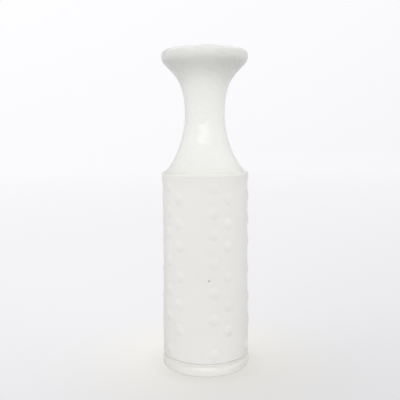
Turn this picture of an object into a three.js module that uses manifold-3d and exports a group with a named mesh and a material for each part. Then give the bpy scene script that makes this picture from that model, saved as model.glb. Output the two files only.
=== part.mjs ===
// A tall porcelain vase: a straight bisque body with low rounded pips, and a glazed neck that draws in
// to a waist and flares out to a thick rounded lip. Millimetres, +Z up.
// The origin is the centre of the ring that the vase stands on, at table level.

import * as THREE from 'three';
import * as BufferGeometryUtils from 'three/addons/utils/BufferGeometryUtils.js';
import Module from 'manifold-3d';

const wasm = await Module();
wasm.setup();

// Overall height, and the share of it that lies below the shoulder
const totalHeight = 270;
const shoulderShare = 0.6193;

// Body wall: a little wider at the foot and at the shoulder than halfway up
const bodyRadius = 36.6;
const bodyWall = 3.6;
const lowWallSwell = 0.8;
const lowWallShare = 0.13;
const midWallShare = 0.52;
const shoulderOverhang = 0.9;
const shoulderFlare = 13;
const shoulderRounding = 0.6;

// Foot ring: a rounded band over a flat ring that meets the table
const footHeight = 9.2;
const footOverhang = 0.6;
const footBulge = 0.9;
const footBellyShare = 0.26;
const footRingWidth = 9.5;
const footInnerRounding = 1.2;

// Groove between the foot band and the wall
const grooveDepth = 1.4;
const grooveRise = 1.4;

// Floor slab, inside the wall and on the foot ring
const floorThickness = 4;

// Neck: a narrow ledge on the shoulder, then a hollow curve to the waist and out to the lip
const ledgeWidth = 1.5;
const ledgeRise = 1.2;
const waistRadius = 17;
const waistShare = 0.531;
const neckWall = 3.2;
const rootSlope = THREE.MathUtils.degToRad(35);
const rootReach = 12;
const waistReachDownShare = 0.33;
const waistReachUpShare = 0.7;
const flareSlope = THREE.MathUtils.degToRad(50);
const flareReach = 13;

// Lip: a thick roll on top of the neck, with a mouth as wide as the body
const mouthShare = 1;
const lipOverhang = 1.8;
const lipHeight = 9.9;
const lipCrestRise = 4;
const lipThickness = 6;
const lipRootShare = 0.33;
const lipTurnShare = 0.35;

// Glaze lining, and the clearance that it and the floor slab keep from the wall
const glazeThickness = 0.5;
const fitClearance = 0.3;

// Pips: low oval domes in bands of two staggered columns. The bands were laid out by hand, so the bare
// strips between them differ a little. Each band's angle is that of its leading column.
const pipWidth = 8.6;
const pipHeight = 9.4;
const pipRise = 1.05;
const pipSink = 0.7;
const bandAngles = [-146, -79, -19, 41, 97, 153].map((degrees) => THREE.MathUtils.degToRad(degrees));
const columnSpacing = THREE.MathUtils.degToRad(20);
const leadingRowShares = [0.055, 0.244, 0.384, 0.542, 0.693, 0.806, 0.931];
const trailingRowShares = [0.18, 0.314, 0.466, 0.628, 0.745, 0.875];

// How finely curves are stepped
const turnSteps = 40;
const curveSteps = 6;
const wallSteps = 4;
const bandSteps = 4;
const lipSideSteps = 3;
const crestSteps = 8;
const pipSides = 8;
const pipRings = 2;

const bisque = { color: 0xe9e7e2, roughness: 0.85, metalness: 0 };
const glaze = { color: 0xf2f2ed, roughness: 0.12, metalness: 0 };

const shoulderHeight = totalHeight * shoulderShare;
const shoulderRadius = bodyRadius + shoulderOverhang;
const wallInnerRadius = bodyRadius - bodyWall;
const lowWallRadius = bodyRadius + lowWallSwell;
const grooveRadius = lowWallRadius - grooveDepth;
const footRadius = lowWallRadius + footOverhang;
const footInnerRadius = footRadius - footRingWidth;
const floorTop = footHeight + floorThickness;
const lipRadius = bodyRadius * mouthShare;
const neckTopHeight = totalHeight - lipHeight;
const neckTopRadius = lipRadius - lipOverhang;
const neckTopInnerRadius = neckTopRadius - neckWall / Math.sin(flareSlope);
const waistHeight = THREE.MathUtils.lerp(shoulderHeight, neckTopHeight, waistShare);

function point(radius, height) {
  return new THREE.Vector2(radius, height);
}

// A cubic curve from one point to another, with a handle at each end.
function curvePoints(start, startHandle, endHandle, end, steps = curveSteps) {
  return new THREE.CubicBezierCurve(start, startHandle, endHandle, end).getPoints(steps);
}

function ellipsePoints(centre, radiusX, radiusY, startAngle, endAngle, steps = curveSteps) {
  const clockwise = endAngle < startAngle;
  return new THREE.EllipseCurve(centre.x, centre.y, radiusX, radiusY, startAngle, endAngle, clockwise)
    .getPoints(steps);
}

// Turns an outline of radius and height about the upright axis. An outline that doesn't begin and end
// on the axis is closed on itself.
function turned(outline) {
  const closesOnAxis = outline[0].x === 0 && outline.at(-1).x === 0;
  const points = closesOnAxis ? outline : [...outline, outline[0].clone()];
  const geometry = new THREE.LatheGeometry(points, turnSteps);
  geometry.rotateX(Math.PI / 2);
  return geometry;
}

function toSolid(geometry) {
  const bare = geometry.clone();
  bare.deleteAttribute('normal');
  bare.deleteAttribute('uv');
  const merged = BufferGeometryUtils.mergeVertices(bare);
  const mesh = new wasm.Mesh({
    numProp: 3,
    vertProperties: new Float32Array(merged.attributes.position.array),
    triVerts: new Uint32Array(merged.index.array),
  });
  return new wasm.Manifold(mesh);
}

function toGeometry(solid) {
  const mesh = solid.getMesh();
  const geometry = new THREE.BufferGeometry();
  geometry.setAttribute('position', new THREE.BufferAttribute(new Float32Array(mesh.vertProperties), 3));
  geometry.setIndex(new THREE.BufferAttribute(new Uint32Array(mesh.triVerts), 1));
  geometry.computeVertexNormals();
  return geometry;
}

function named(name, geometry, finish) {
  const mesh = new THREE.Mesh(geometry, new THREE.MeshStandardMaterial(finish));
  mesh.name = name;
  return mesh;
}

// The band is widest low down. Above that, its outer side draws in to the groove in a double curve.
function footRing() {
  const bellyHeight = footHeight * footBellyShare;
  const swell = (bellyHeight + footHeight) / 2;
  const underside = ellipsePoints(point(footRadius - footBulge, bellyHeight), footBulge, bellyHeight,
    -Math.PI / 2, 0, bandSteps);
  const shoulder = curvePoints(point(footRadius, bellyHeight), point(footRadius, swell),
    point(grooveRadius, swell), point(grooveRadius, footHeight), bandSteps);
  const outline = [
    point(footInnerRadius + footInnerRounding, 0),
    ...underside,
    ...shoulder.slice(1),
    point(footInnerRadius, footHeight),
    point(footInnerRadius, footInnerRounding),
  ];
  return turned(outline);
}

function baseFloor() {
  const radius = wallInnerRadius - fitClearance;
  return turned([point(0, footHeight), point(radius, footHeight), point(radius, floorTop), point(0, floorTop)]);
}

// The wall's outer side, from the groove up to the shoulder edge.
function wallLine() {
  const wallFoot = footHeight + grooveRise;
  const lowWallHeight = THREE.MathUtils.lerp(footHeight, shoulderHeight, lowWallShare);
  const midWallHeight = THREE.MathUtils.lerp(footHeight, shoulderHeight, midWallShare);
  const swell = (lowWallHeight + midWallHeight) / 2;
  const flareFoot = shoulderHeight - shoulderFlare;
  const edgeHeight = shoulderHeight - shoulderRounding;
  return [
    point(grooveRadius, footHeight),
    point(lowWallRadius, wallFoot),
    ...curvePoints(point(lowWallRadius, lowWallHeight), point(lowWallRadius, swell),
      point(bodyRadius, swell), point(bodyRadius, midWallHeight), wallSteps),
    ...curvePoints(point(bodyRadius, flareFoot), point(bodyRadius, shoulderHeight - shoulderFlare / 2),
      point(bodyRadius, edgeHeight), point(shoulderRadius, edgeHeight), wallSteps),
    point(shoulderRadius - shoulderRounding, shoulderHeight),
  ];
}

function radiusAt(line, height) {
  const above = line.findIndex((end, index) => index > 0 && end.y >= height);
  const low = line[above - 1];
  const high = line[above];
  return THREE.MathUtils.mapLinear(height, low.y, high.y, low.x, high.x);
}

// One pip: the outer half of a flattened ball, lying on the wall with its top pointing along +X.
// It is widened so that the part above the wall has the named width and height.
function pip() {
  const depth = pipRise + pipSink;
  const spread = 1 / Math.sqrt(1 - (pipSink / depth) ** 2);
  const dome = ellipsePoints(point(0, 0), 1, 1, 0, Math.PI / 2, pipRings);
  dome.at(-1).x = 0;
  const geometry = new THREE.LatheGeometry([point(0, 0), ...dome], pipSides);
  geometry.rotateZ(-Math.PI / 2);
  geometry.scale(depth, pipWidth / 2 * spread, pipHeight / 2 * spread);
  return geometry;
}

function bodyWallGeometry() {
  const line = wallLine();
  let wall = toSolid(turned([...line, point(wallInnerRadius, shoulderHeight), point(wallInnerRadius, footHeight)]));
  for (const bandAngle of bandAngles) {
    const columns = [[bandAngle, leadingRowShares], [bandAngle + columnSpacing, trailingRowShares]];
    for (const [angle, rowShares] of columns) {
      for (const rowShare of rowShares) {
        const height = THREE.MathUtils.lerp(footHeight, shoulderHeight, rowShare);
        const raised = pip();
        raised.translate(radiusAt(line, height) - pipSink, 0, height);
        raised.rotateZ(angle);
        wall = wall.add(toSolid(raised));
      }
    }
  }
  return toGeometry(wall);
}

// One side of the neck, from its root on the shoulder through the waist to its top.
function neckLine(root, waist, top) {
  const reachDown = (waistHeight - shoulderHeight) * waistReachDownShare;
  const reachUp = (neckTopHeight - waistHeight) * waistReachUpShare;
  const below = curvePoints(root,
    point(root.x - rootReach * Math.cos(rootSlope), root.y + rootReach * Math.sin(rootSlope)),
    point(waist.x, waist.y - reachDown), waist);
  const above = curvePoints(waist, point(waist.x, waist.y + reachUp),
    point(top.x - flareReach * Math.cos(flareSlope), top.y - flareReach * Math.sin(flareSlope)), top);
  return [...below, ...above.slice(1)];
}

function neckOuterLine() {
  const ledgeRadius = shoulderRadius - shoulderRounding;
  return [
    point(ledgeRadius, shoulderHeight),
    ...neckLine(point(ledgeRadius - ledgeWidth, shoulderHeight + ledgeRise), point(waistRadius, waistHeight),
      point(neckTopRadius, neckTopHeight)),
  ];
}

function neckInnerLine() {
  return neckLine(point(wallInnerRadius, shoulderHeight), point(waistRadius - neckWall, waistHeight),
    point(neckTopInnerRadius, neckTopHeight));
}

function neck() {
  return turned([...neckOuterLine(), ...neckInnerLine().reverse()]);
}

// The roll's crest is half an ellipse. Below it, both sides run down into the neck's slope.
function lip() {
  const crestRadius = lipRadius - lipThickness / 2;
  const innerRadius = lipRadius - lipThickness;
  const lipWidestHeight = totalHeight - lipCrestRise;
  const rise = lipWidestHeight - neckTopHeight;
  const run = rise / Math.tan(flareSlope);
  const rootRun = run * lipRootShare;
  const rootHeight = neckTopHeight + rise * lipRootShare;
  const turnHeight = lipWidestHeight - rise * lipTurnShare;
  const outerSide = curvePoints(point(neckTopRadius, neckTopHeight), point(neckTopRadius + rootRun, rootHeight),
    point(lipRadius, turnHeight), point(lipRadius, lipWidestHeight), lipSideSteps);
  const crest = ellipsePoints(point(crestRadius, lipWidestHeight), lipThickness / 2,
    lipCrestRise, 0, Math.PI, crestSteps);
  const innerSide = curvePoints(point(innerRadius, lipWidestHeight), point(innerRadius, turnHeight),
    point(neckTopInnerRadius + rootRun, rootHeight), point(neckTopInnerRadius, neckTopHeight), lipSideSteps);
  return turned([...outerSide, ...crest.slice(1), ...innerSide.slice(1)]);
}

// The lining lies on the floor slab and follows the inside of the wall and the neck.
function innerGlaze() {
  const inside = [point(wallInnerRadius, floorTop), ...neckInnerLine()];
  const outer = inside.map((place) => point(place.x - fitClearance, place.y));
  const inner = inside.map((place) => point(place.x - fitClearance - glazeThickness, place.y));
  inner[0].y += glazeThickness;
  return turned([point(0, floorTop), ...outer, ...inner.reverse(), point(0, floorTop + glazeThickness)]);
}

const vase = new THREE.Group();
vase.add(
  named('foot_ring', footRing(), glaze),
  named('base_floor', baseFloor(), bisque),
  named('body_wall', bodyWallGeometry(), bisque),
  named('neck', neck(), glaze),
  named('lip', lip(), glaze),
  named('inner_glaze', innerGlaze(), glaze),
);

export default vase;
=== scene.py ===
# %% [markdown]
# # A tall porcelain vase
#
# The vase has two finishes. Its straight body is biscuit porcelain, fired but left without glaze, so it is
# matte and faintly warm, and low rounded pips stand on it in pairs of staggered columns. Its foot ring, neck
# and lip are glazed, so they are smooth and glossy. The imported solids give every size. Each one is rebuilt
# here as a fine, smooth surface of the same form, and gets the finish of the real thing.

import math

import bmesh
import bpy
from mathutils import Matrix, Vector


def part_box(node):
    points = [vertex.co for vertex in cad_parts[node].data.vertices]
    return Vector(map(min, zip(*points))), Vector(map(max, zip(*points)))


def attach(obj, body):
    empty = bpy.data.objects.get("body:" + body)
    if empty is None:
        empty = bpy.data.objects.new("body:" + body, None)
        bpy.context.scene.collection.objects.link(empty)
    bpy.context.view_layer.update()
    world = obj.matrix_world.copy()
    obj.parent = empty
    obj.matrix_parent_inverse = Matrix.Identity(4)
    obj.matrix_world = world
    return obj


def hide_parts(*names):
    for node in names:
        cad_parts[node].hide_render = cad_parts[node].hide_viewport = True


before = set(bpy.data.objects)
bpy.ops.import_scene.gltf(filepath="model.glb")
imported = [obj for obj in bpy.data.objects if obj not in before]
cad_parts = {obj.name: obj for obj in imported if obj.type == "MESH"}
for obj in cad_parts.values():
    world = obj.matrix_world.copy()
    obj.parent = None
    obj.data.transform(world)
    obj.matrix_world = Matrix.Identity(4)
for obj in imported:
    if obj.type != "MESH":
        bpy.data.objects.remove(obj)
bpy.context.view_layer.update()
MM = 0.001
print("nodes:", ", ".join(sorted(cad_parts)))

# %% [markdown]
# ## The camera
#
# A photographer would stand a vase like this on a table and shoot it from about shoulder height of the vase,
# half a metre away with a normal lens. The camera looks down a little, so the foot shows as a curve and the
# lip is seen from below. It also points slightly left of the vase and leans by a third of a degree, as a
# hand-held camera does.

# %% Camera
CAMERA_DISTANCE = 480.1 * MM
CAMERA_HEIGHT = 196.3 * MM
CAMERA_PITCH = math.radians(6.25)
CAMERA_YAW = math.radians(0.54)
CAMERA_ROLL = math.radians(-0.33)
LENS_MM = 50
SENSOR_MM = 36

camera = bpy.data.objects.new("camera", bpy.data.cameras.new("camera"))
camera.data.lens = LENS_MM
camera.data.sensor_width = SENSOR_MM
camera.matrix_world = (
    Matrix.Translation((0, -CAMERA_DISTANCE, CAMERA_HEIGHT))
    @ Matrix.Rotation(CAMERA_YAW, 4, "Z")
    @ Matrix.Rotation(math.pi / 2 - CAMERA_PITCH, 4, "X")
    @ Matrix.Rotation(CAMERA_ROLL, 4, "Z")
)
bpy.context.collection.objects.link(camera)
bpy.context.scene.camera = camera
bpy.context.scene.view_settings.view_transform = "Standard"
print("camera at", [round(value / MM) for value in camera.location], "mm")

# %% [markdown]
# ## Tools for nodes and colours
#
# Materials, lights and Geometry Nodes are all node trees, and one small function adds any node to any of
# them. Colours are written as a painter or a web page gives them, in sRGB, and one function turns them to the
# linear values that the renderer works in.

# %% Node and colour helpers
def add_node(tree, kind, inputs=None, **settings):
    """Adds one node. Each input is a value to set, or a node or one of its outputs to link."""
    node = tree.nodes.new(kind)
    for name, value in settings.items():
        setattr(node, name, value)
    for key, value in (inputs or {}).items():
        if isinstance(value, bpy.types.Node):
            value = next(output for output in value.outputs if output.enabled)
        if isinstance(value, bpy.types.NodeSocket):
            tree.links.new(value, node.inputs[key])
        else:
            node.inputs[key].default_value = value
    return node


def linear(hex_colour):
    """Turns an sRGB hex colour to linear red, green, blue and a full alpha."""
    channels = [int(hex_colour[start:start + 2], 16) / 255 for start in (1, 3, 5)]
    return [c / 12.92 if c <= 0.04045 else ((c + 0.055) / 1.055) ** 2.4 for c in channels] + [1]


def texture_scale(feature_mm):
    """The scale at which a noise texture's features are about this many millimetres wide."""
    return 1 / (feature_mm * MM)


def new_material(name):
    """A material with an empty Principled shader, and its tree."""
    material = bpy.data.materials.new(name)
    material.use_nodes = True
    tree = material.node_tree
    tree.nodes.clear()
    shader = add_node(tree, "ShaderNodeBsdfPrincipled")
    add_node(tree, "ShaderNodeOutputMaterial", {"Surface": shader.outputs["BSDF"]})
    return material, tree, shader


print("white is", [round(c, 3) for c in linear("#FFFFFF")])

# %% [markdown]
# ## Biscuit porcelain
#
# Porcelain that is fired without glaze keeps the skin of the mould: very fine, dry and chalky, with a broad
# soft sheen and no sharp reflections. It is never one flat white. The body takes the fire a little unevenly,
# so its tone drifts by a shade over a few centimetres, and the surface has a grain like eggshell. One iron
# speck has burnt through to the surface low on the front, as happens in white porcelain.

# %% Colours and grain of the biscuit
BISCUIT_LIGHT = "#F1F0ED"
BISCUIT_DARK = "#ECEBE7"
IRON_BROWN = "#3F342C"
# Eggshell grain is about 0.2 mm wide. It is drawn six times coarser, so that it shows at all.
GRAIN_MM = 1.2
GRAIN_DEPTH = 0.03 * MM
GRAIN_STRENGTH = 0.5
FIRING_DRIFT_MM = 34
# A chalky skin scatters light back from its edges too, so that a round wall looks flatter than smooth clay.
CHALKINESS = 0.25
BISCUIT_ROUGHNESS = {"To Min": 0.72, "To Max": 0.92}
# Fired porcelain and its glaze both bend light about as window glass does.
PORCELAIN_IOR = 1.5
print("biscuit grain every", GRAIN_MM, "mm")

# %% The iron speck
# Directions round the vase start at its right side, so its front is at -90 degrees.
FRONT_DEGREES = -90
SPECK_ANGLE = math.radians(FRONT_DEGREES + 4.5)
SPECK_HEIGHT = 81 * MM
SPECK_RADIUS = 0.9 * MM
SPECK_EDGE = 0.35 * MM
print("speck", round(2 * SPECK_RADIUS / MM, 1), "mm across")

# %% Biscuit finish
def biscuit_porcelain(name, speck_at=None):
    """The matte finish. With a place given, the iron speck is burnt in there."""
    material, tree, shader = new_material(name)
    place = add_node(tree, "ShaderNodeTexCoord").outputs["Object"]
    drift = add_node(tree, "ShaderNodeTexNoise",
                     {"Vector": place, "Scale": texture_scale(FIRING_DRIFT_MM), "Detail": 3.0})
    colour = add_node(tree, "ShaderNodeMix", {
        "Factor": drift, "A": linear(BISCUIT_DARK), "B": linear(BISCUIT_LIGHT)}, data_type="RGBA")
    if speck_at:
        away = add_node(tree, "ShaderNodeVectorMath", {0: place, 1: speck_at}, operation="DISTANCE")
        burnt = add_node(tree, "ShaderNodeMapRange", {
            "Value": away, "From Min": SPECK_RADIUS - SPECK_EDGE, "From Max": SPECK_RADIUS + SPECK_EDGE,
            "To Min": 1.0, "To Max": 0.0})
        colour = add_node(tree, "ShaderNodeMix", {
            "Factor": burnt, "A": colour.outputs["Result"], "B": linear(IRON_BROWN)}, data_type="RGBA")
    tree.links.new(colour.outputs["Result"], shader.inputs["Base Color"])
    grain = add_node(tree, "ShaderNodeTexNoise",
                     {"Vector": place, "Scale": texture_scale(GRAIN_MM), "Detail": 2.0})
    dryness = add_node(tree, "ShaderNodeMapRange", {"Value": grain, **BISCUIT_ROUGHNESS})
    tree.links.new(dryness.outputs["Result"], shader.inputs["Roughness"])
    skin = add_node(tree, "ShaderNodeBump",
                    {"Height": grain, "Distance": GRAIN_DEPTH, "Strength": GRAIN_STRENGTH})
    tree.links.new(skin.outputs["Normal"], shader.inputs["Normal"])
    shader.inputs["IOR"].default_value = PORCELAIN_IOR
    shader.inputs["Diffuse Roughness"].default_value = CHALKINESS
    return material


print("biscuit roughness from", BISCUIT_ROUGHNESS["To Min"], "to", BISCUIT_ROUGHNESS["To Max"])

# %% [markdown]
# ## Glazed porcelain
#
# A clear glaze is a coat of glass melted over the porcelain. It reflects like glass, in sharp highlights,
# over a slightly cool white. It also flows while it is molten, so it is never quite flat: it has shallow,
# smooth ripples that bend the edges of the highlights. It gathers a little thicker, and a touch greener,
# where it runs down onto a ledge. Its tone also carries painted shade: darker under the lip and up the lip's
# outside, which get less light, and on the foot's leaning edge, against the extra light that it catches facing
# up. The lip's crest carries painted light. One finish with tones by height can show all of this, because the
# vase is round.

# %% Colours and ripples of the glaze
GLAZE_WHITE = "#F0F1EC"
GLAZE_POOLED = "#EDEFE7"
GLAZE_OVER_FOOT = "#F1F0EA"
# Painted shade on the foot's leaning edge, against the extra light that it catches facing up.
PAINTED_SHADE_ON_FOOT_EDGE = "#E7E6E0"
# Painted shade on the flare under the lip, which faces down and gets little light.
PAINTED_SHADE_UNDER_LIP = "#E9EAE5"
# Painted shade up the lip's outside, and a painted highlight on its crest.
PAINTED_SHADE_ON_LIP = "#E2E3DF"
PAINTED_LIGHT_ON_CREST = "#FBFBF8"
RIPPLE_MM = 4.5
RIPPLE_DEPTH = 0.5 * MM
# On the foot's narrow band the glaze has no room to run, so it lies flatter.
FOOT_RIPPLE_DEPTH = 0.08 * MM
# Molten glass sets almost perfectly smooth.
GLAZE_ROUGHNESS = {"To Min": 0.01, "To Max": 0.04}
print("glaze ripples every", RIPPLE_MM, "mm")

# %% Glaze finish
def glazed_porcelain(name, tones, ripple_depth=RIPPLE_DEPTH):
    """Glaze whose tone changes with height. The tones are (height, colour) pairs, from low to high."""
    material, tree, shader = new_material(name)
    place = add_node(tree, "ShaderNodeTexCoord").outputs["Object"]
    lowest, highest = tones[0][0], tones[-1][0]
    height_here = add_node(tree, "ShaderNodeSeparateXYZ", {"Vector": place}).outputs["Z"]
    share = add_node(tree, "ShaderNodeMapRange",
                     {"Value": height_here, "From Min": lowest, "From Max": highest})
    blend = add_node(tree, "ShaderNodeValToRGB", {"Fac": share})
    stops = blend.color_ramp.elements
    stops[0].color = linear(tones[0][1])
    stops[1].color = linear(tones[-1][1])
    for height, colour in tones[1:-1]:
        stops.new((height - lowest) / (highest - lowest)).color = linear(colour)
    tree.links.new(blend.outputs["Color"], shader.inputs["Base Color"])
    ripple = add_node(tree, "ShaderNodeTexNoise",
                      {"Vector": place, "Scale": texture_scale(RIPPLE_MM), "Detail": 0.0})
    haze = add_node(tree, "ShaderNodeMapRange", {"Value": ripple, **GLAZE_ROUGHNESS})
    tree.links.new(haze.outputs["Result"], shader.inputs["Roughness"])
    flow = add_node(tree, "ShaderNodeBump", {"Height": ripple, "Distance": ripple_depth, "Strength": 1.0})
    tree.links.new(flow.outputs["Normal"], shader.inputs["Normal"])
    shader.inputs["IOR"].default_value = PORCELAIN_IOR
    return material


print("glaze roughness from", GLAZE_ROUGHNESS["To Min"], "to", GLAZE_ROUGHNESS["To Max"])

# %% [markdown]
# ## Turned on the wheel
#
# A potter's wheel turns every part of this vase from one outline: half of the section, from the axis out. In
# Blender that could be the Screw modifier or a spin in mesh code. Geometry Nodes do it here, because the rule
# is one sentence: sweep the outline round a small circle, the hub, with its own up direction kept. The
# outline is a chain of edges, and where it touches the axis its ends merge into a pole.

# %% The turning tree
HUB_RADIUS = 5 * MM
MERGE_WITHIN = 0.001 * MM


def tree_with_inputs(name, sockets):
    """A Geometry Nodes tree with a geometry in and out and the named inputs."""
    tree = bpy.data.node_groups.new(name, "GeometryNodeTree")
    tree.interface.new_socket("Geometry", in_out="INPUT", socket_type="NodeSocketGeometry")
    for label, kind in sockets:
        tree.interface.new_socket(label, in_out="INPUT", socket_type=kind)
    tree.interface.new_socket("Geometry", in_out="OUTPUT", socket_type="NodeSocketGeometry")
    return tree, add_node(tree, "NodeGroupInput").outputs


def turning_tree():
    """Sweeps an outline round the hub and closes it where it touches the axis."""
    tree, given = tree_with_inputs("turned_on_the_wheel", [
        ("Turn steps", "NodeSocketInt"), ("Hub radius", "NodeSocketFloat"), ("Finish", "NodeSocketMaterial")])
    outline = add_node(tree, "GeometryNodeMeshToCurve", {"Mesh": given["Geometry"]})
    hub = add_node(tree, "GeometryNodeCurvePrimitiveCircle",
                   {"Resolution": given["Turn steps"], "Radius": given["Hub radius"]})
    upright = add_node(tree, "GeometryNodeSetCurveNormal", {"Curve": hub}, mode="Z_UP")
    swept = add_node(tree, "GeometryNodeCurveToMesh", {"Curve": upright, "Profile Curve": outline})
    closed = add_node(tree, "GeometryNodeMergeByDistance", {"Geometry": swept, "Distance": MERGE_WITHIN})
    real = add_node(tree, "GeometryNodeRealizeInstances", {"Geometry": closed})
    painted = add_node(tree, "GeometryNodeSetMaterial", {"Geometry": real, "Material": given["Finish"]})
    add_node(tree, "NodeGroupOutput", {"Geometry": painted})
    return tree


TURNING = turning_tree()
print("nodes in the turning tree:", len(TURNING.nodes))

# %% Run a tree and shade its result
SHARP_FROM = math.radians(50)


def run_tree(piece, tree, values):
    """Runs a tree on a piece, keeps the result as the piece's own mesh and removes the modifier."""
    modifier = piece.modifiers.new(tree.name, "NODES")
    modifier.node_group = tree
    for socket in tree.interface.items_tree:
        if socket.in_out == "INPUT" and socket.name in values:
            modifier[socket.identifier] = values[socket.name]
    evaluated = piece.evaluated_get(bpy.context.evaluated_depsgraph_get())
    made = bpy.data.meshes.new_from_object(evaluated)
    spent = piece.data
    piece.modifiers.remove(modifier)
    piece.data = made
    made.name = piece.name
    bpy.data.meshes.remove(spent)


def smooth_outwards(mesh):
    """Points every face outwards and shades the mesh smooth, apart from its true edges."""
    work = bmesh.new()
    work.from_mesh(mesh)
    bmesh.ops.recalc_face_normals(work, faces=work.faces)
    work.to_mesh(mesh)
    work.free()
    mesh.shade_smooth()
    mesh.set_sharp_from_angle(angle=SHARP_FROM)


print("edges of more than", round(math.degrees(SHARP_FROM)), "degrees stay sharp")

# %% Turn an outline into a piece
TURN_STEPS = 160


def turn(name, outline, finish, steps=TURN_STEPS):
    """Turns an outline of (radius, height) into a closed piece. One that starts on the axis also ends there."""
    on_axis = outline[0][0] == 0
    chain = [(radius - HUB_RADIUS, -height, 0) for radius, height in outline]
    edges = [(first, first + 1) for first in range(len(chain) - 1)]
    if not on_axis:
        edges.append((len(chain) - 1, 0))
    mesh = bpy.data.meshes.new(name)
    mesh.from_pydata(chain, edges, [])
    piece = bpy.data.objects.new(name, mesh)
    bpy.context.collection.objects.link(piece)
    run_tree(piece, TURNING, {"Turn steps": steps, "Hub radius": HUB_RADIUS, "Finish": finish})
    smooth_outwards(piece.data)
    size = [round(side / MM, 1) for side in piece.dimensions]
    print(name, "is", size, "mm with", len(piece.data.polygons), "faces")
    return piece


print("a round is turned in", TURN_STEPS, "steps")

# %% [markdown]
# ## Lines of an outline
#
# Each outline is made of curves with a handle at both ends, as in a drawing program, and of parts of ellipses
# for the round edges. Straight runs that must carry relief are cut into short steps afterwards.

# %% Curves for outlines
def curve(start, start_handle, end_handle, end, steps=24):
    """Points on a cubic curve, both ends included."""
    points = []
    for step in range(steps + 1):
        t = step / steps
        weights = ((1 - t) ** 3, 3 * (1 - t) ** 2 * t, 3 * (1 - t) * t ** 2, t ** 3)
        corners = (start, start_handle, end_handle, end)
        points.append(tuple(sum(w * corner[axis] for w, corner in zip(weights, corners)) for axis in (0, 1)))
    return points


def ellipse(centre, reach, rise, from_degrees, to_degrees, steps=12):
    """Points on part of an ellipse, both ends included."""
    span = to_degrees - from_degrees
    angles = [math.radians(from_degrees + span * step / steps) for step in range(steps + 1)]
    return [(centre[0] + reach * math.cos(angle), centre[1] + rise * math.sin(angle)) for angle in angles]


def in_short_steps(line, longest):
    """Cuts every stretch of a line into steps no longer than this."""
    points = [line[0]]
    for start, end in zip(line, line[1:]):
        cuts = max(1, math.ceil(math.dist(start, end) / longest))
        for cut in range(1, cuts + 1):
            share = cut / cuts
            points.append(tuple(a + (b - a) * share for a, b in zip(start, end)))
    return points


print("a quarter circle has", len(ellipse((0, 0), 1, 1, 0, 90)), "points")

# %% [markdown]
# ## Heights and radii
#
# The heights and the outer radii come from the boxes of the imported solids. The sizes that a box can't give,
# such as the wall here, and the waist and the roundings in the cells below, are the same named sizes as in
# the part's source. Four details are finer than the solids, and stay within a millimetre of them: the foot
# band's leaning edge, the curve of the flare under the shoulder, the small glazed rim on the shoulder and the
# lining's thin top.

# %% Sizes from the frame
foot_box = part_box("foot_ring")
wall_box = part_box("body_wall")
floor_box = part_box("base_floor")
neck_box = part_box("neck")
lip_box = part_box("lip")

FOOT_TOP = foot_box[1][2]
FOOT_RADIUS = foot_box[1][0]
SHOULDER_HEIGHT = wall_box[1][2]
FLOOR_TOP = floor_box[1][2]
FLOOR_RADIUS = floor_box[1][0]
NECK_TOP = neck_box[1][2]
LIP_TOP = lip_box[1][2]
LIP_RADIUS = lip_box[1][0]
print("foot to", round(FOOT_TOP / MM, 1), "shoulder at", round(SHOULDER_HEIGHT / MM, 1), "lip at",
      round(LIP_TOP / MM, 1), "mm")

# %% Radii of the wall
FIT_CLEARANCE = 0.3 * MM
BODY_WALL = 3.6 * MM
LOW_WALL_SWELL = 0.8 * MM
WALL_INNER_RADIUS = FLOOR_RADIUS + FIT_CLEARANCE
BODY_RADIUS = WALL_INNER_RADIUS + BODY_WALL
LOW_WALL_RADIUS = BODY_RADIUS + LOW_WALL_SWELL
print("body", round(2 * BODY_RADIUS / MM, 1), "mm across, low down", round(2 * LOW_WALL_RADIUS / MM, 1), "mm")

# %% [markdown]
# ## The finishes of this vase
#
# Each tone below is a height and a colour. The neck's glaze pools on the shoulder ledge, and painted shade
# darkens it just under the lip. The foot's glaze pools at the bottom of the band, and painted shade darkens the
# edge that turns in to the groove. The lip has painted shade on its outside and a painted highlight on its
# crest. The wall's biscuit carries the iron speck, and the floor slab is the same biscuit without it.

# %% Biscuit of the wall and the floor
speck_place = (LOW_WALL_RADIUS * math.cos(SPECK_ANGLE), LOW_WALL_RADIUS * math.sin(SPECK_ANGLE), SPECK_HEIGHT)
WALL_BISCUIT = biscuit_porcelain("biscuit_porcelain_wall", speck_place)
PLAIN_BISCUIT = biscuit_porcelain("biscuit_porcelain_plain")
print("speck at", round(SPECK_HEIGHT / MM), "mm")

# %% Glaze of the neck, the foot and the lip
POOL_DEPTH = 9 * MM
# The painted shade under the lip fades in from this far below the neck's top and is full from this far below
# it.
UNDER_LIP_SHADE_FROM = 9 * MM
UNDER_LIP_SHADE_AT = 4 * MM
NECK_GLAZE = glazed_porcelain("glazed_porcelain_neck", [
    (SHOULDER_HEIGHT, GLAZE_POOLED), (SHOULDER_HEIGHT + POOL_DEPTH, GLAZE_WHITE),
    (NECK_TOP - UNDER_LIP_SHADE_FROM, GLAZE_WHITE), (NECK_TOP - UNDER_LIP_SHADE_AT, PAINTED_SHADE_UNDER_LIP), (NECK_TOP, PAINTED_SHADE_UNDER_LIP)])

# The foot's band stands upright to this share of its height, and its edge leans in above it.
FOOT_BAND_SHARE = 0.5
FOOT_BAND_TOP = FOOT_TOP * FOOT_BAND_SHARE
FOOT_POOL_DEPTH = 2 * MM
FOOT_EDGE_FADE = 1 * MM
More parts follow.
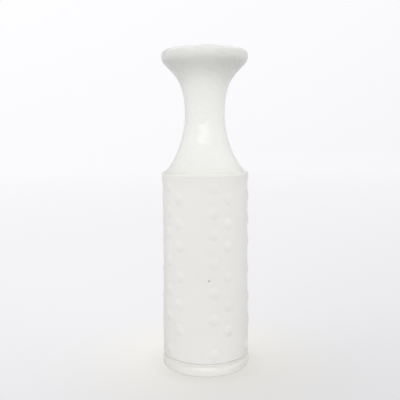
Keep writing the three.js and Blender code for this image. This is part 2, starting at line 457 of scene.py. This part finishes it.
# Painted shade darkens the foot's leaning edge, from a millimetre above the upright band.
FOOT_GLAZE = glazed_porcelain("glazed_porcelain_foot", [
    (0, GLAZE_POOLED), (FOOT_POOL_DEPTH, GLAZE_OVER_FOOT), (FOOT_BAND_TOP, GLAZE_OVER_FOOT),
    (FOOT_BAND_TOP + FOOT_EDGE_FADE, PAINTED_SHADE_ON_FOOT_EDGE), (FOOT_TOP, PAINTED_SHADE_ON_FOOT_EDGE)], FOOT_RIPPLE_DEPTH)

LIP_FADE = 3 * MM
CREST_FADE = 3 * MM
# Painted shade up the lip's outside turns to painted light on the crest.
LIP_GLAZE = glazed_porcelain("glazed_porcelain_lip", [
    (NECK_TOP, PAINTED_SHADE_UNDER_LIP), (NECK_TOP + LIP_FADE, PAINTED_SHADE_ON_LIP), (LIP_TOP - CREST_FADE, PAINTED_SHADE_ON_LIP),
    (LIP_TOP, PAINTED_LIGHT_ON_CREST)])
print("glazes:", NECK_GLAZE.name, FOOT_GLAZE.name, LIP_GLAZE.name)

# %% [markdown]
# ## Foot ring
#
# The band round the foot is glazed. It rounds up from the table, stands upright to half of its height and
# then leans in to a narrow groove under the wall. That lean is what catches the window's light as a thin
# bright bar, so it gets a curve of its own, with its middle at the lean that mirrors the window. The
# underside is a flat ring, wiped clean of glaze so that it doesn't stick to the kiln shelf, so its flat faces
# get the biscuit.

# %% Sizes of the foot ring
FOOT_BULGE = 0.9 * MM
FOOT_BELLY_SHARE = 0.26
# The edge leans in above the upright band. From this share of the foot's height on it is upright again.
FOOT_DRAWN_IN_SHARE = 0.85
FOOT_DRAWN_IN = 1.4 * MM
# The edge is two curves. They meet in its middle at this lean, and their handles reach this far there and at
# the ends.
FOOT_LEAN = math.radians(31)
FOOT_LEAN_REACH = 0.75 * MM
FOOT_HANDLE = 0.6 * MM
FOOT_RING_WIDTH = 9.5 * MM
FOOT_INNER_RADIUS = FOOT_RADIUS - FOOT_RING_WIDTH
FOOT_INNER_ROUNDING = 1.2 * MM
GROOVE_DEPTH = 1.4 * MM
GROOVE_RADIUS = LOW_WALL_RADIUS - GROOVE_DEPTH
print("groove", round(2 * GROOVE_RADIUS / MM, 1), "mm across")

# %% Foot ring
def foot_outline():
    """From the table up the outside, in to the groove, and down the inside of the ring."""
    belly = FOOT_TOP * FOOT_BELLY_SHARE
    drawn_in = FOOT_TOP * FOOT_DRAWN_IN_SHARE
    drawn_in_radius = FOOT_RADIUS - FOOT_DRAWN_IN
    middle = (FOOT_RADIUS - FOOT_DRAWN_IN / 2, (FOOT_BAND_TOP + drawn_in) / 2)
    reach = (FOOT_LEAN_REACH * math.sin(FOOT_LEAN), FOOT_LEAN_REACH * math.cos(FOOT_LEAN))
    underside = curve((FOOT_RADIUS - FOOT_BULGE, 0), (FOOT_RADIUS, 0), (FOOT_RADIUS, 0), (FOOT_RADIUS, belly),
                      steps=16)
    lower = curve((FOOT_RADIUS, FOOT_BAND_TOP), (FOOT_RADIUS, FOOT_BAND_TOP + FOOT_HANDLE),
                  (middle[0] + reach[0], middle[1] - reach[1]), middle, steps=12)
    upper = curve(middle, (middle[0] - reach[0], middle[1] + reach[1]),
                  (drawn_in_radius, drawn_in - FOOT_HANDLE), (drawn_in_radius, drawn_in), steps=12)
    groove = curve((drawn_in_radius, drawn_in), (drawn_in_radius, FOOT_TOP), (drawn_in_radius, FOOT_TOP),
                   (GROOVE_RADIUS, FOOT_TOP), steps=8)
    inner_edge = ellipse((FOOT_INNER_RADIUS + FOOT_INNER_ROUNDING, FOOT_INNER_ROUNDING),
                         FOOT_INNER_ROUNDING, FOOT_INNER_ROUNDING, 180, 270, steps=6)
    return [*underside, *lower, *upper[1:], *groove[1:], (FOOT_INNER_RADIUS, FOOT_TOP), *inner_edge]


foot_ring = turn("glazed_foot_ring", foot_outline(), FOOT_GLAZE)

# %% Wipe the underside bare
# A face counts as level from this share of its normal pointing straight down.
LEVEL_FROM = 0.99
foot_ring.data.materials.append(PLAIN_BISCUIT)
bare = [face for face in foot_ring.data.polygons
        if face.normal.z < -LEVEL_FROM and face.center.z < FOOT_TOP / 2]
for face in bare:
    face.material_index = 1
print("bare faces under the foot:", len(bare))

# %% [markdown]
# ## Floor slab
#
# The floor closes the body inside the foot ring. It is never seen from the front, but it shows from below.

# %% Floor slab
floor_outline = [(0, FOOT_TOP), (FLOOR_RADIUS, FOOT_TOP), (FLOOR_RADIUS, FLOOR_TOP), (0, FLOOR_TOP)]
floor_slab = turn("floor_slab", floor_outline, PLAIN_BISCUIT)

# %% [markdown]
# ## Body wall
#
# The wall is nearly straight. It is a little wider at the foot, and over its last 13 mm it flares by not
# quite a millimetre, most of it close to the top, which makes the crisp line of the shoulder. It is turned in
# short steps, because the pips are raised from its surface afterwards.

# %% Sizes of the wall
LOW_WALL_SHARE = 0.13
MID_WALL_SHARE = 0.52
GROOVE_RISE = 1.4 * MM
SHOULDER_OVERHANG = 0.9 * MM
SHOULDER_RADIUS = BODY_RADIUS + SHOULDER_OVERHANG
SHOULDER_FLARE = 13 * MM
SHOULDER_ROUNDING = 0.6 * MM
# The handle of the flare's curve at the shoulder edge reaches this far down and in.
FLARE_HANDLE_DROP = 4 * MM
FLARE_HANDLE_INSET = 0.3 * MM
WALL_STEP = 0.85 * MM
WALL_TURN_STEPS = 280
print("shoulder edge", round(2 * SHOULDER_RADIUS / MM, 1), "mm across")

# %% Body wall, still smooth
def wall_line():
    """The wall's outer side from the groove to the shoulder."""
    groove_top = FOOT_TOP + GROOVE_RISE
    low_height = FOOT_TOP + (SHOULDER_HEIGHT - FOOT_TOP) * LOW_WALL_SHARE
    mid_height = FOOT_TOP + (SHOULDER_HEIGHT - FOOT_TOP) * MID_WALL_SHARE
    swell = (low_height + mid_height) / 2
    flare_foot = SHOULDER_HEIGHT - SHOULDER_FLARE
    edge_height = SHOULDER_HEIGHT - SHOULDER_ROUNDING
    return [
        *curve((GROOVE_RADIUS, FOOT_TOP), (GROOVE_RADIUS, FOOT_TOP + GROOVE_RISE / 2),
               (LOW_WALL_RADIUS, FOOT_TOP + GROOVE_RISE / 2), (LOW_WALL_RADIUS, groove_top + GROOVE_RISE / 2),
               steps=10),
        *curve((LOW_WALL_RADIUS, low_height), (LOW_WALL_RADIUS, swell), (BODY_RADIUS, swell),
               (BODY_RADIUS, mid_height)),
        *curve((BODY_RADIUS, flare_foot), (BODY_RADIUS, SHOULDER_HEIGHT - SHOULDER_FLARE / 2),
               (SHOULDER_RADIUS - FLARE_HANDLE_INSET, edge_height - FLARE_HANDLE_DROP),
               (SHOULDER_RADIUS, edge_height)),
        *ellipse((SHOULDER_RADIUS - SHOULDER_ROUNDING, edge_height), SHOULDER_ROUNDING, SHOULDER_ROUNDING,
                 15, 90, steps=5),
    ]


WALL_LINE = wall_line()
wall_outline = [*in_short_steps(WALL_LINE, WALL_STEP), (WALL_INNER_RADIUS, SHOULDER_HEIGHT),
                (WALL_INNER_RADIUS, FOOT_TOP)]
body_wall = turn("biscuit_wall", wall_outline, WALL_BISCUIT, WALL_TURN_STEPS)

# %% [markdown]
# ## Pips
#
# The pips are low oval domes, about 9 mm across and about 1 mm high, with soft edges, because the mould for
# this body was carved with shallow hollows. They could be separate domes stuck to the wall, but then a sharp
# line would run round each one. Here a tree raises the wall itself: for each point of the wall it finds the
# nearest pip place and lifts the point by how close it is. Each pip is a little different in height, from a
# fixed seed. The places lie in six bands of two staggered columns, listed one by one, so the bare strips
# between them differ a little.

# %% Sizes and places of the pips
PIP_WIDTH = 8.6 * MM
PIP_HEIGHT = 9.4 * MM
PIP_RISE = 1.05 * MM
# The dome's edge fades out, so its foot is wider than the size that the eye sees.
SOFT_FOOT = 1.1
DOME_POWER = 1.1
# The flattest pips rise to this share of the full rise.
FLATTEST_PIP = 0.85
BAND_ANGLES = [math.radians(degrees) for degrees in (-146, -79, -19, 41, 97, 153)]
COLUMN_SPACING = math.radians(20)
LEADING_ROW_SHARES = (0.055, 0.244, 0.384, 0.542, 0.693, 0.806, 0.931)
TRAILING_ROW_SHARES = (0.18, 0.314, 0.466, 0.628, 0.745, 0.875)
print("pips in a band:", len(LEADING_ROW_SHARES) + len(TRAILING_ROW_SHARES))

# %% The pip tree
def pip_tree():
    """Lifts every point of the wall's outside by how close it is to its nearest pip place."""
    tree, given = tree_with_inputs("raised_pips", [
        ("Pip places", "NodeSocketObject"), ("Width", "NodeSocketFloat"), ("Height", "NodeSocketFloat"),
        ("Rise", "NodeSocketFloat"), ("Outside from", "NodeSocketFloat"), ("Seed", "NodeSocketInt"),
        ("Finish", "NodeSocketMaterial")])
    places = add_node(tree, "GeometryNodeObjectInfo", {"Object": given["Pip places"]},
                      transform_space="ORIGINAL").outputs["Geometry"]
    here = add_node(tree, "GeometryNodeInputPosition")
    nearest = add_node(tree, "GeometryNodeSampleNearest", {"Geometry": places, "Sample Position": here})
    centre = add_node(tree, "GeometryNodeSampleIndex", {"Geometry": places, "Value": here, "Index": nearest},
                      data_type="FLOAT_VECTOR")
    offset = add_node(tree, "ShaderNodeVectorMath", {0: here, 1: centre}, operation="SUBTRACT")
    size = add_node(tree, "ShaderNodeCombineXYZ",
                    {"X": given["Width"], "Y": given["Width"], "Z": given["Height"]})
    reach = add_node(tree, "ShaderNodeVectorMath", {0: offset, 1: size}, operation="DIVIDE")
    squared = add_node(tree, "ShaderNodeVectorMath", {0: reach, 1: reach}, operation="DOT_PRODUCT")
    # One half of the size is where the dome ends, so four times the square is 1 there.
    closeness = add_node(tree, "ShaderNodeMath", {0: squared, 1: -4.0, 2: 1.0}, operation="MULTIPLY_ADD",
                         use_clamp=True)
    dome = add_node(tree, "ShaderNodeMath", {0: closeness, 1: DOME_POWER}, operation="POWER")
    rise = add_node(tree, "ShaderNodeMath", {0: dome, 1: given["Rise"]}, operation="MULTIPLY")
    vary = add_node(tree, "FunctionNodeRandomValue", {
        "Min": FLATTEST_PIP, "Max": 1.0, "ID": nearest, "Seed": given["Seed"]}, data_type="FLOAT")
    lift = add_node(tree, "ShaderNodeMath", {0: rise, 1: vary}, operation="MULTIPLY")

    level = add_node(tree, "ShaderNodeVectorMath", {0: here, 1: (1.0, 1.0, 0.0)}, operation="MULTIPLY")
    outwards = add_node(tree, "ShaderNodeVectorMath", {0: level}, operation="NORMALIZE")
    radius = add_node(tree, "ShaderNodeVectorMath", {0: level}, operation="LENGTH")
    outside = add_node(tree, "FunctionNodeCompare", {0: radius, 1: given["Outside from"]}, data_type="FLOAT",
                       operation="GREATER_THAN")
    push = add_node(tree, "ShaderNodeVectorMath", {0: outwards, "Scale": lift}, operation="SCALE")
    raised = add_node(tree, "GeometryNodeSetPosition",
                      {"Geometry": given["Geometry"], "Selection": outside, "Offset": push})
    real = add_node(tree, "GeometryNodeRealizeInstances", {"Geometry": raised})
    painted = add_node(tree, "GeometryNodeSetMaterial", {"Geometry": real, "Material": given["Finish"]})
    add_node(tree, "NodeGroupOutput", {"Geometry": painted})
    return tree


RAISING = pip_tree()
print("nodes in the pip tree:", len(RAISING.nodes))

# %% Where the pips stand
def radius_at(line, height):
    """The radius of a rising line at a height."""
    for low, high in zip(line, line[1:]):
        if low[1] <= height <= high[1]:
            return low[0] + (high[0] - low[0]) * (height - low[1]) / (high[1] - low[1])
    raise ValueError("the line doesn't reach that height")


def pip_places():
    """Every pip's middle on the wall: a leading and a trailing column in each band."""
    places = []
    for band_angle in BAND_ANGLES:
        columns = ((band_angle, LEADING_ROW_SHARES), (band_angle + COLUMN_SPACING, TRAILING_ROW_SHARES))
        for angle, shares in columns:
            for share in shares:
                height = FOOT_TOP + (SHOULDER_HEIGHT - FOOT_TOP) * share
                radius = radius_at(WALL_LINE, height)
                places.append((radius * math.cos(angle), radius * math.sin(angle), height))
    return places


PIP_PLACES = pip_places()
print("pips:", len(PIP_PLACES))

# %% Raise the pips from the wall
PIP_SEED = 7
place_mesh = bpy.data.meshes.new("pip_places")
place_mesh.from_pydata(PIP_PLACES, [], [])
place_marks = bpy.data.objects.new("pip_places", place_mesh)
bpy.context.collection.objects.link(place_marks)
run_tree(body_wall, RAISING, {
    "Pip places": place_marks, "Width": PIP_WIDTH * SOFT_FOOT, "Height": PIP_HEIGHT * SOFT_FOOT,
    "Rise": PIP_RISE, "Outside from": (WALL_INNER_RADIUS + BODY_RADIUS) / 2, "Seed": PIP_SEED,
    "Finish": WALL_BISCUIT})
bpy.data.objects.remove(place_marks)
smooth_outwards(body_wall.data)
print("wall faces:", len(body_wall.data.polygons))

# %% Glaze over the shoulder edge
# The neck's glaze laps this far down over the edge.
GLAZE_LAP = 0.35 * MM
body_wall.data.materials.append(NECK_GLAZE)
for face in body_wall.data.polygons:
    if face.center.z > SHOULDER_HEIGHT - GLAZE_LAP and face.center.xy.length > WALL_INNER_RADIUS:
        face.material_index = 1
print("glazed faces on the edge:", sum(face.material_index for face in body_wall.data.polygons))

# %% [markdown]
# ## Neck
#
# The neck starts on a narrow ledge inside the shoulder edge. Where the ledge ends, the glaze stands over the
# biscuit in a small rim, a little over a millimetre high, which leans in and shows as a thin light line.
# Above the ledge the outline is two curves that meet at the waist, where both run straight up, so the joint
# can't be seen. The same two curves, a wall's thickness further in, are the inside.

# %% Sizes of the neck
LEDGE_RADIUS = SHOULDER_RADIUS - SHOULDER_ROUNDING
LEDGE_WIDTH = 1.5 * MM
LEDGE_RISE = 1.2 * MM
WAIST_RADIUS = 17 * MM
WAIST_SHARE = 0.531
WAIST_HEIGHT = SHOULDER_HEIGHT + (NECK_TOP - SHOULDER_HEIGHT) * WAIST_SHARE
NECK_WALL = 3.2 * MM
LIP_OVERHANG = 1.8 * MM
NECK_TOP_RADIUS = LIP_RADIUS - LIP_OVERHANG
FLARE_SLOPE = math.radians(50)
NECK_TOP_INNER_RADIUS = NECK_TOP_RADIUS - NECK_WALL / math.sin(FLARE_SLOPE)
print("waist", round(2 * WAIST_RADIUS / MM, 1), "mm across at", round(WAIST_HEIGHT / MM, 1), "mm")

# %% The neck's two sides
# How steeply the curves leave the root and reach the top, and how far their handles reach.
ROOT_SLOPE = math.radians(35)
ROOT_REACH = 12 * MM
WAIST_REACH_DOWN_SHARE = 0.33
WAIST_REACH_UP_SHARE = 0.7
FLARE_REACH = 13 * MM


def neck_line(root, waist, top):
    """One side of the neck, from its root on the shoulder through the waist to its top."""
    reach_down = (WAIST_HEIGHT - SHOULDER_HEIGHT) * WAIST_REACH_DOWN_SHARE
    reach_up = (NECK_TOP - WAIST_HEIGHT) * WAIST_REACH_UP_SHARE
    below = curve(root,
                  (root[0] - ROOT_REACH * math.cos(ROOT_SLOPE), root[1] + ROOT_REACH * math.sin(ROOT_SLOPE)),
                  (waist[0], waist[1] - reach_down), waist, steps=40)
    above = curve(waist, (waist[0], waist[1] + reach_up),
                  (top[0] - FLARE_REACH * math.cos(FLARE_SLOPE), top[1] - FLARE_REACH * math.sin(FLARE_SLOPE)),
                  top, steps=40)
    return [*below, *above[1:]]


neck_outside = neck_line((LEDGE_RADIUS - LEDGE_WIDTH, SHOULDER_HEIGHT + LEDGE_RISE),
                         (WAIST_RADIUS, WAIST_HEIGHT), (NECK_TOP_RADIUS, NECK_TOP))
neck_inside = neck_line((WALL_INNER_RADIUS, SHOULDER_HEIGHT), (WAIST_RADIUS - NECK_WALL, WAIST_HEIGHT),
                        (NECK_TOP_INNER_RADIUS, NECK_TOP))
print("points on the neck's outside:", len(neck_outside))

# %% Neck with its rim and ledge
# The rim stands upright, leans in, and turns over onto the level ledge.
RIM_UPRIGHT = 0.35 * MM
RIM_RISE = 0.75 * MM
RIM_LEAN = math.radians(17)
RIM_TURN = 0.12 * MM
rim_foot = (LEDGE_RADIUS, SHOULDER_HEIGHT + RIM_UPRIGHT)
rim_top = (LEDGE_RADIUS - RIM_RISE * math.tan(RIM_LEAN), rim_foot[1] + RIM_RISE)
ledge_height = rim_top[1] + RIM_TURN
over_the_edge = (rim_top[0] - RIM_TURN * math.sin(RIM_LEAN), ledge_height)
rim_edge = curve(rim_top, over_the_edge, over_the_edge, (rim_top[0] - RIM_TURN * 2, ledge_height), steps=6)
ledge_corner = [(radius_at(neck_outside, height), height)
                for height in (ledge_height, ledge_height + RIM_TURN / 2)]
above_ledge = [point for point in neck_outside if point[1] > ledge_height + RIM_TURN]
neck = turn("glazed_neck", [(LEDGE_RADIUS, SHOULDER_HEIGHT), rim_foot, *rim_edge, *ledge_corner, *above_ledge,
                            *reversed(neck_inside)], NECK_GLAZE)

# %% [markdown]
# ## Lip
#
# The rim is rolled over thick and round, so that it doesn't chip. Its two sides carry on in the neck's slope,
# and half an ellipse joins them over the top.

# %% Lip
LIP_CREST_RISE = 4 * MM
LIP_WIDEST_HEIGHT = LIP_TOP - LIP_CREST_RISE
LIP_THICKNESS = 6 * MM
# How far the handles of both sides reach, at the neck and at the widest height, as shares of the rise.
LIP_ROOT_SHARE = 0.33
LIP_TURN_SHARE = 0.35


def lip_outline():
    """Up the outside from the neck, over the crest, and down the inside."""
    rise = LIP_WIDEST_HEIGHT - NECK_TOP
    run = rise / math.tan(FLARE_SLOPE)
    inner_radius = LIP_RADIUS - LIP_THICKNESS
    root_run = run * LIP_ROOT_SHARE
    root_height = NECK_TOP + rise * LIP_ROOT_SHARE
    turn_height = LIP_WIDEST_HEIGHT - rise * LIP_TURN_SHARE
    outer_side = curve((NECK_TOP_RADIUS, NECK_TOP), (NECK_TOP_RADIUS + root_run, root_height),
                       (LIP_RADIUS, turn_height), (LIP_RADIUS, LIP_WIDEST_HEIGHT), steps=16)
    crest = ellipse((LIP_RADIUS - LIP_THICKNESS / 2, LIP_WIDEST_HEIGHT), LIP_THICKNESS / 2,
                    LIP_CREST_RISE, 0, 180, steps=24)
    inner_side = curve((inner_radius, LIP_WIDEST_HEIGHT), (inner_radius, turn_height),
                       (NECK_TOP_INNER_RADIUS + root_run, root_height), (NECK_TOP_INNER_RADIUS, NECK_TOP),
                       steps=16)
    return [*outer_side, *crest[1:], *inner_side[1:]]


lip = turn("rounded_lip", lip_outline(), LIP_GLAZE)

# %% [markdown]
# ## Glaze lining
#
# Bare porcelain would sweat, so the inside is glazed: glaze is poured in, swirled and poured out. The lining
# is a thin skin that follows the floor, the wall and the neck up to the lip. Towards its top it thins out to
# nothing, so that the lip's glaze and the lining's look like the one coat that they are.

# %% Glaze lining
GLAZE_THICKNESS = 0.5 * MM
LINING_FEATHER = 6 * MM


def set_in(point, depth):
    """Moves a point of the inside towards the axis, by less and less on the last stretch below the lip."""
    radius, height = point
    return radius - depth * min(1, (NECK_TOP - height) / LINING_FEATHER), height


inner_side = [(WALL_INNER_RADIUS, FLOOR_TOP), *neck_inside]
lining_outer = [set_in(point, FIT_CLEARANCE) for point in inner_side]
lining_inner = [set_in(point, FIT_CLEARANCE + GLAZE_THICKNESS) for point in inner_side[:-1]]
lining_inner[0] = (lining_inner[0][0], FLOOR_TOP + GLAZE_THICKNESS)
lining = turn("glaze_lining", [(0, FLOOR_TOP), *lining_outer, *reversed(lining_inner),
                               (0, FLOOR_TOP + GLAZE_THICKNESS)], NECK_GLAZE)

# %% [markdown]
# ## Each piece in place of its solid
#
# Every smooth piece stands for one imported solid and rides on the one body of the vase.

# %% Dress the frame
DRESSED = (
    (foot_ring, "foot_ring", "glazed_porcelain"),
    (floor_slab, "base_floor", "bisque_porcelain"),
    (body_wall, "body_wall", "bisque_porcelain"),
    (neck, "neck", "glazed_porcelain"),
    (lip, "lip", "glazed_porcelain"),
    (lining, "inner_glaze", "glazed_porcelain"),
)
for piece, node, slot in DRESSED:
    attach(piece, "root")
    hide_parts(node)
    print(piece.name, "stands for", node)

# %% [markdown]
# ## Table and backdrop
#
# The vase stands on a plain white table in front of a white backdrop. Close to the vase the table is an
# ordinary matte surface that takes its soft shadow. The light that it bounces is that of a slightly greyer
# table than the camera sees, so that the underside of the lip isn't lit too much. Further out the table ends.
# Behind and beside the vase it runs into the backdrop's pale floor, and in front of it lies the darker floor
# of the room, which sends hardly any light back under the lip. The camera and the reflections in the glaze
# see the backdrop's white instead. It fades in within two centimetres of the foot, a little warm near the
# vase and cooler further out, and it meets the backdrop without a hard horizon. That white is shown only to
# them, so it adds no light to the vase.

# %% What the camera and the glaze see
def shown_level(tree, lit, in_glaze, to_camera):
    """A brightness that depends on what looks: the light itself, the glaze's reflections or the camera."""
    path = add_node(tree, "ShaderNodeLightPath").outputs
    reflected = add_node(tree, "ShaderNodeMix", {"Factor": path["Is Glossy Ray"], "A": lit, "B": in_glaze})
    return add_node(tree, "ShaderNodeMix", {"Factor": path["Is Camera Ray"], "A": reflected, "B": to_camera})


# How bright the white floor is to the camera, near the vase and far away, and in the glaze's reflections.
SHOWN_NEAR = 0.825
SHOWN_FAR = 0.905
SHOWN_IN_GLAZE = 0.8
print("white of the far floor:", SHOWN_FAR, "to the camera,", SHOWN_IN_GLAZE, "in the glaze")

# %% The flat sheet that is table and floor
FLOOR_REACH = 8000 * MM
FLOOR_SIDES = 96
table_mesh = bpy.data.meshes.new("table")
work = bmesh.new()
bmesh.ops.create_circle(work, cap_ends=True, segments=FLOOR_SIDES, radius=FLOOR_REACH)
work.to_mesh(table_mesh)
work.free()
table = bpy.data.objects.new("table", table_mesh)
bpy.context.collection.objects.link(table)
print("table and floor reach", round(FLOOR_REACH / MM), "mm")

# %% Matte table, pale backdrop and darker room
TABLE_SEEN = "#E6E5E0"
TABLE_BOUNCE = "#B4B4B1"
TABLE_ROUGHNESS = 0.9
TABLE_GLOSS = 0.2
ROOM_FLOOR = "#5A5A5A"
BACKDROP_FLOOR = "#F4F4F4"
TABLE_EDGE_FROM = 100 * MM
TABLE_EDGE_TO = 280 * MM
# Directions from the vase where the backdrop's pale floor takes over from the room's, as the sine of the angle
# behind the vase's left and right.
BACKDROP_FROM = -0.95
BACKDROP_TO = -0.35
table_white, tree, shader = new_material("white_table_top")
shader.inputs["Roughness"].default_value = TABLE_ROUGHNESS
shader.inputs["Specular IOR Level"].default_value = TABLE_GLOSS
place = add_node(tree, "ShaderNodeTexCoord").outputs["Object"]
away = add_node(tree, "ShaderNodeVectorMath", {0: place}, operation="LENGTH")
bearing = add_node(tree, "ShaderNodeVectorMath", {0: place}, operation="NORMALIZE")
depth = add_node(tree, "ShaderNodeSeparateXYZ", {"Vector": bearing}).outputs["Y"]
behind = add_node(tree, "ShaderNodeMapRange",
                  {"Value": depth, "From Min": BACKDROP_FROM, "From Max": BACKDROP_TO})
far_floor = add_node(tree, "ShaderNodeMix", {
    "Factor": behind, "A": linear(ROOM_FLOOR), "B": linear(BACKDROP_FLOOR)}, data_type="RGBA")
beyond = add_node(tree, "ShaderNodeMapRange",
                  {"Value": away, "From Min": TABLE_EDGE_FROM, "From Max": TABLE_EDGE_TO})
camera_looks = add_node(tree, "ShaderNodeLightPath").outputs["Is Camera Ray"]
seen = add_node(tree, "ShaderNodeMix", {
    "Factor": camera_looks, "A": linear(TABLE_BOUNCE), "B": linear(TABLE_SEEN)}, data_type="RGBA")
ground = add_node(tree, "ShaderNodeMix", {
    "Factor": beyond, "A": seen.outputs["Result"], "B": far_floor.outputs["Result"]}, data_type="RGBA")
tree.links.new(ground.outputs["Result"], shader.inputs["Base Color"])
print("the table ends between", round(TABLE_EDGE_FROM / MM), "and", round(TABLE_EDGE_TO / MM), "mm away")

# %% The white that is only shown
BACKDROP_WHITE = "#FDFCFF"
FLOOR_WHITE = "#FFFEF9"
WHITE_FROM = 36 * MM
WARM_TO = 150 * MM
WHITE_FAR = 3000 * MM
FAR_CURVE = 0.6
# The floor is darker to the right of the vase and in front of it by these shares, and lighter the other way.
FLOOR_SIDE_FALL = 0.045
FLOOR_FRONT_FALL = 0.07
distance = add_node(tree, "ShaderNodeMapRange", {"Value": away, "From Min": WHITE_FROM, "From Max": WHITE_FAR})
faded = add_node(tree, "ShaderNodeMath", {0: distance, 1: FAR_CURVE}, operation="POWER")
level = add_node(tree, "ShaderNodeMapRange", {"Value": faded, "To Min": SHOWN_NEAR, "To Max": SHOWN_FAR})
fall = add_node(tree, "ShaderNodeVectorMath", {0: bearing, 1: (-FLOOR_SIDE_FALL, FLOOR_FRONT_FALL, 0.0)},
                operation="DOT_PRODUCT")
to_camera = add_node(tree, "ShaderNodeMath", {0: level, 1: fall, 2: level}, operation="MULTIPLY_ADD")
warmth = add_node(tree, "ShaderNodeMapRange", {"Value": away, "From Min": WHITE_FROM, "From Max": WARM_TO})
tint = add_node(tree, "ShaderNodeMix", {
    "Factor": warmth, "A": linear(FLOOR_WHITE), "B": linear(BACKDROP_WHITE)}, data_type="RGBA")
shown_strength = shown_level(tree, 0.0, SHOWN_IN_GLAZE, to_camera)
white = add_node(tree, "ShaderNodeEmission", {"Color": tint.outputs["Result"], "Strength": shown_strength})
print("shown white from", SHOWN_NEAR, "at the foot to", SHOWN_FAR, "far away")

# %% Fade from the table into the white
WHITE_TO = 55 * MM
# How far the white has faded in at the foot already, in front of it and beside it, where its shadow is fainter.
WHITE_BEFORE_FOOT = 0.45
WHITE_BESIDE_FOOT = 0.8
at_foot = add_node(tree, "ShaderNodeMapRange",
                   {"Value": behind, "To Min": WHITE_BEFORE_FOOT, "To Max": WHITE_BESIDE_FOOT})
fade = add_node(tree, "ShaderNodeMapRange",
                {"Value": away, "From Min": WHITE_FROM, "From Max": WHITE_TO, "To Min": at_foot})
shown = add_node(tree, "ShaderNodeMath", {0: fade, 1: shown_level(tree, 0.0, 1.0, 1.0)}, operation="MULTIPLY")
mixed = add_node(tree, "ShaderNodeMixShader", {"Fac": shown, 1: shader, 2: white})
output = next(node for node in tree.nodes if node.type == "OUTPUT_MATERIAL")
tree.links.new(mixed.outputs["Shader"], output.inputs["Surface"])
table_mesh.materials.append(table_white)
print("nodes in the table's material:", len(tree.nodes))

# %% [markdown]
# ## Light
#
# The key is one wide, low softbox over the camera. It lights the front of the body and gives each pip a light
# upper side and a dark lower side. A weaker panel, a little higher, is the one that the glaze mirrors: it is
# the small bright window on the neck, the line on the shoulder and the bar on the foot. A low fill keeps the
# underside of the lip from going dark, and panels behind the vase on both sides keep its edges nearly as
# bright as the front. Even light comes from the walls all round, less of it from the ceiling and none from
# below. The other panels are hidden from reflections, so that the glaze mirrors only the window.

# %% Light from the room
ROOM_LIGHT = 0.42
WALLS_FROM = math.radians(-4)
WALLS_FULL = math.radians(12)
WALLS_TO = math.radians(32)
CEILING_FROM = math.radians(65)
CEILING_SHARE = 0.25
world = bpy.data.worlds.new("white_room")
world.use_nodes = True
bpy.context.scene.world = world
tree = world.node_tree
tree.nodes.clear()
towards = add_node(tree, "ShaderNodeTexCoord").outputs["Generated"]
upwards = add_node(tree, "ShaderNodeSeparateXYZ", {"Vector": towards}).outputs["Z"]
walls = add_node(tree, "ShaderNodeMapRange", {
    "Value": upwards, "From Min": math.sin(WALLS_FROM), "From Max": math.sin(WALLS_FULL), "To Max": ROOM_LIGHT})
ceiling = add_node(tree, "ShaderNodeMapRange", {
    "Value": upwards, "From Min": math.sin(WALLS_TO), "From Max": math.sin(CEILING_FROM), "To Min": 1.0,
    "To Max": CEILING_SHARE})
lit = add_node(tree, "ShaderNodeMath", {0: walls, 1: ceiling}, operation="MULTIPLY")
print("the walls give", ROOM_LIGHT, "and the ceiling", round(ROOM_LIGHT * CEILING_SHARE, 3))

# %% The backdrop as it is shown
# At eye level the backdrop is as bright to the camera as the far floor is in the same direction, so that they
# meet without a horizon. It gains this much upwards and loses this much to the right.
SHOWN_RISE = 0.13
SHOWN_SIDE_FALL = 0.06
change = add_node(tree, "ShaderNodeVectorMath", {
    0: towards, 1: (-SHOWN_SIDE_FALL, FLOOR_FRONT_FALL * SHOWN_FAR, SHOWN_RISE)}, operation="DOT_PRODUCT")
to_camera = add_node(tree, "ShaderNodeMath", {0: change, 1: SHOWN_FAR}, operation="ADD")
room_strength = shown_level(tree, lit, SHOWN_IN_GLAZE, to_camera)
room = add_node(tree, "ShaderNodeBackground", {"Color": linear(BACKDROP_WHITE), "Strength": room_strength})
add_node(tree, "ShaderNodeOutputWorld", {"Surface": room})
print("nodes in the room:", len(tree.nodes))

# %% Softboxes
AIM = Vector((0, 0, LIP_TOP / 2))


def softbox(name, azimuth, elevation, distance, size, watts, mirrored=False):
    """A soft panel, as wide and high as its size, that faces the vase's middle. Azimuth grows to the right."""
    data = bpy.data.lights.new(name, "AREA")
    data.shape = "RECTANGLE"
    data.size, data.size_y = size
    data.energy = watts
    lamp = bpy.data.objects.new(name, data)
    lamp.visible_camera = False
    lamp.visible_glossy = mirrored
    around = math.radians(FRONT_DEGREES + azimuth)
    up = math.radians(elevation)
    lamp.location = AIM + distance * Vector(
        (math.cos(around) * math.cos(up), math.sin(around) * math.cos(up), math.sin(up)))
    lamp.rotation_euler = (lamp.location - AIM).to_track_quat("Z", "Y").to_euler()
    bpy.context.collection.objects.link(lamp)
    print(name, "at", [round(value / MM) for value in lamp.location], "mm")


# Azimuth 0 is straight over the camera.
softbox("key_softbox", azimuth=-8, elevation=26, distance=1000 * MM, size=(1100 * MM, 420 * MM), watts=3.6)
softbox("mirrored_window", azimuth=-5, elevation=30, distance=900 * MM, size=(900 * MM, 280 * MM), watts=1.7,
        mirrored=True)
softbox("low_fill", azimuth=-6, elevation=8, distance=1300 * MM, size=(1600 * MM, 400 * MM), watts=4.0)
softbox("left_panel", azimuth=-118, elevation=20, distance=1400 * MM, size=(1200 * MM, 1200 * MM), watts=6.4)
softbox("right_panel", azimuth=105, elevation=22, distance=1400 * MM, size=(1200 * MM, 1200 * MM), watts=8.4)
